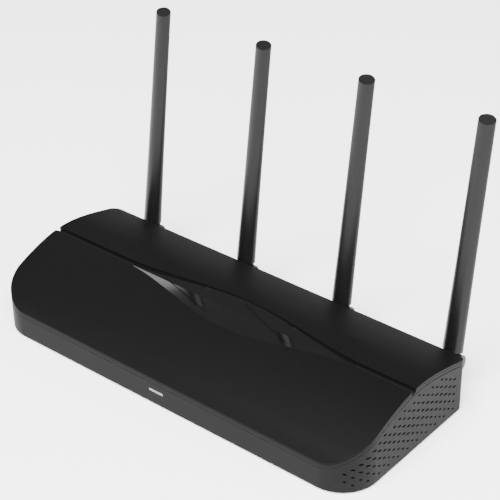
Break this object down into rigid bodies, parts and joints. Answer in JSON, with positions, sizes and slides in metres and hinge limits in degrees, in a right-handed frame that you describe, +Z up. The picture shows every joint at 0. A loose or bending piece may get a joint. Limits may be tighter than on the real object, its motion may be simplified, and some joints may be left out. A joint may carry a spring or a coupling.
{
  "type": "wireless router",
  "caption": "Low black wireless router with a humped lid, perforated sides and tall blade antennas that swivel and fold on the back edge.",
  "frame": {"origin": "middle of the case's outline at the soles of its feet", "axes": "+X to the right seen from the front, +Y towards the antennas and ports at the back, +Z up"},
  "size_m": [0.26, 0.1401, 0.1602],
  "materials": {
    "panel_black": "satin, very fine grain",
    "inlay_gloss": "piano gloss",
    "case_black": "fine spark-eroded texture",
    "light_bar": "frosted clear plastic",
    "lamp_white": "moulded lamp body",
    "board_green": "solder mask",
    "screw_steel": "zinc plated",
    "foot_rubber": "matt",
    "label_silver": "blank printed film",
    "shield_tin": "tin plated",
    "pad_grey": "soft pad",
    "sink_aluminium": "extruded, bare",
    "coil_black": "moulded",
    "capacitor_shell": "sleeved can",
    "jack_black": "moulded",
    "contact_gold": "gold flash",
    "button_black": "satin",
    "switch_body": "moulded",
    "antenna_black": "satin",
    "pin_steel": "ground pin",
    "lead_grey": "coax sheath"
  },
  "bodies": {
    "case": {"front_panel": "panel_black", "rear_panel": "panel_black", "centre_inlay": "inlay_gloss", "upper_case": "case_black", "lower_case": "case_black", "light_pipe": "light_bar", "status_led": "lamp_white", "main_board": "board_green", "board_screws": "screw_steel", "case_screws": "screw_steel", "rubber_feet": "foot_rubber", "rating_label": "label_silver", "shield_cans": "shield_tin", "thermal_pad": "pad_grey", "heat_sink": "sink_aluminium", "line_transformers": "coil_black", "capacitors": "capacitor_shell", "lan_jacks": "jack_black", "wan_jack": "jack_black", "jack_contacts": "contact_gold", "dc_jack": "jack_black", "power_switch": "switch_body", "pair_switch": "switch_body", "reset_switch": "switch_body", "antenna_lead_1": "lead_grey", "antenna_lead_2": "lead_grey", "antenna_lead_3": "lead_grey", "antenna_lead_4": "lead_grey"},
    "power_button": {"power_button": "button_black"},
    "pair_button": {"pair_button": "button_black"},
    "reset_button": {"reset_button": "button_black"},
    "swivel_1": {"knuckle_1": "antenna_black", "hinge_pin_1": "pin_steel"},
    "arm_1": {"sleeve_1": "antenna_black", "radiator_1": "board_green"},
    "swivel_2": {"knuckle_2": "antenna_black", "hinge_pin_2": "pin_steel"},
    "arm_2": {"sleeve_2": "antenna_black", "radiator_2": "board_green"},
    "swivel_3": {"knuckle_3": "antenna_black", "hinge_pin_3": "pin_steel"},
    "arm_3": {"sleeve_3": "antenna_black", "radiator_3": "board_green"},
    "swivel_4": {"knuckle_4": "antenna_black", "hinge_pin_4": "pin_steel"},
    "arm_4": {"sleeve_4": "antenna_black", "radiator_4": "board_green"}
  },
  "joints": [
    {"name": "antenna_1_swivel", "type": "hinge", "parent": "case", "child": "swivel_1", "pos_m": [-0.1125, 0.052, 0.0162], "axis": [0, 1, 0], "range_deg": [-60, 12]},
    {"name": "antenna_1_fold", "type": "hinge", "parent": "swivel_1", "child": "arm_1", "pos_m": [-0.1125, 0.065, 0.0162], "axis": [-1, 0, 0], "range_deg": [-8, 82]},
    {"name": "antenna_2_swivel", "type": "hinge", "parent": "case", "child": "swivel_2", "pos_m": [-0.036, 0.052, 0.0162], "axis": [0, 1, 0], "range_deg": [-12, 12]},
    {"name": "antenna_2_fold", "type": "hinge", "parent": "swivel_2", "child": "arm_2", "pos_m": [-0.036, 0.065, 0.0162], "axis": [-1, 0, 0], "range_deg": [-8, 82]},
    {"name": "antenna_3_swivel", "type": "hinge", "parent": "case", "child": "swivel_3", "pos_m": [0.036, 0.052, 0.0162], "axis": [0, 1, 0], "range_deg": [-12, 12]},
    {"name": "antenna_3_fold", "type": "hinge", "parent": "swivel_3", "child": "arm_3", "pos_m": [0.036, 0.065, 0.0162], "axis": [-1, 0, 0], "range_deg": [-8, 82]},
    {"name": "antenna_4_swivel", "type": "hinge", "parent": "case", "child": "swivel_4", "pos_m": [0.1125, 0.052, 0.0162], "axis": [0, 1, 0], "range_deg": [-12, 60]},
    {"name": "antenna_4_fold", "type": "hinge", "parent": "swivel_4", "child": "arm_4", "pos_m": [0.1125, 0.065, 0.0162], "axis": [-1, 0, 0], "range_deg": [-8, 82]},
    {"name": "power_press", "type": "slide", "parent": "case", "child": "power_button", "axis": [0, -1, 0], "range_m": [0, 0.002], "stiffness_N_per_m": 400, "springref_m": -0.0005},
    {"name": "pair_press", "type": "slide", "parent": "case", "child": "pair_button", "axis": [0, -1, 0], "range_m": [0, 0.0008], "stiffness_N_per_m": 600, "springref_m": -0.0005},
    {"name": "reset_press", "type": "slide", "parent": "case", "child": "reset_button", "axis": [0, -1, 0], "range_m": [0, 0.0008], "stiffness_N_per_m": 600, "springref_m": -0.0005}
  ]
}
